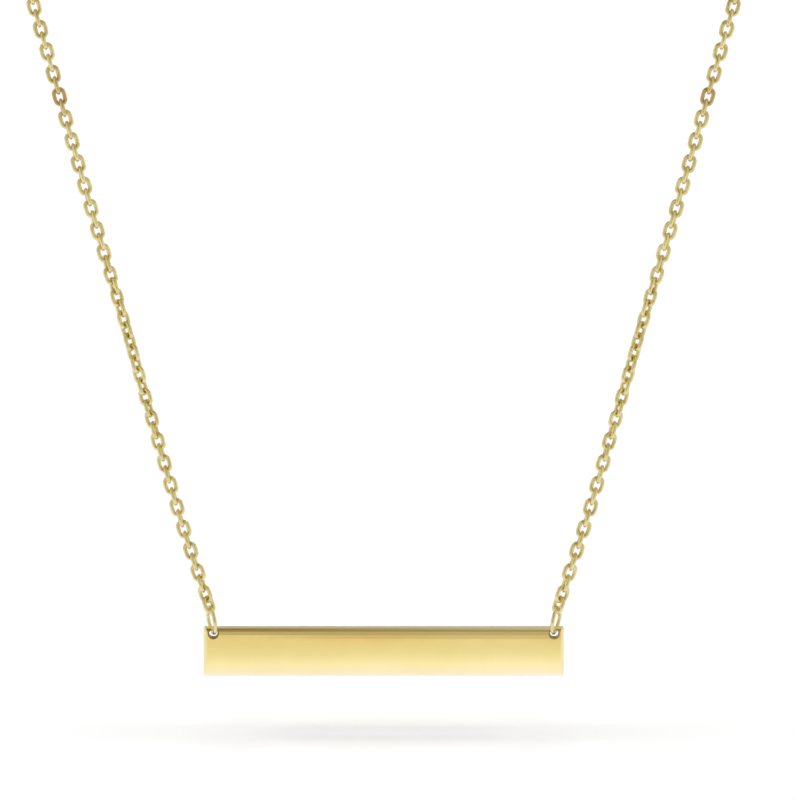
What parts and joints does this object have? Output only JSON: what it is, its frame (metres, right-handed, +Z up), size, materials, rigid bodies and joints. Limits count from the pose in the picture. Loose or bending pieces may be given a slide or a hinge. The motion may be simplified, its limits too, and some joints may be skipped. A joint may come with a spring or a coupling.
{
  "type": "bar necklace",
  "caption": "Plain polished gold bar hung level by its two top corners on a fine cable chain that closes behind the neck with a spring-ring clasp.",
  "frame": {"origin": "middle of the nape, where the worn loop's back lies on the neck", "axes": "+Z up, -Y to the wearer's front, where the bar's polished face points, +X to the wearer's left"},
  "size_m": [0.1092, 0.0934, 0.121],
  "materials": {
    "polished_gold": "polished",
    "chain_gold": "polished"
  },
  "bodies": {
    "necklace": {"jump_ring_left": "chain_gold", "jump_ring_right": "chain_gold", "chain_left_front": "chain_gold", "chain_left_back": "chain_gold", "chain_right_front": "chain_gold", "chain_right_back": "chain_gold", "clasp": "chain_gold", "end_ring": "chain_gold"},
    "bar": {"bar": "polished_gold"}
  },
  "joints": [
    {"name": "bar_swing", "type": "hinge", "parent": "necklace", "child": "bar", "pos_m": [0, -0.09, -0.11342], "axis": [1, 0, 0], "range_deg": [-35, 15]}
  ]
}
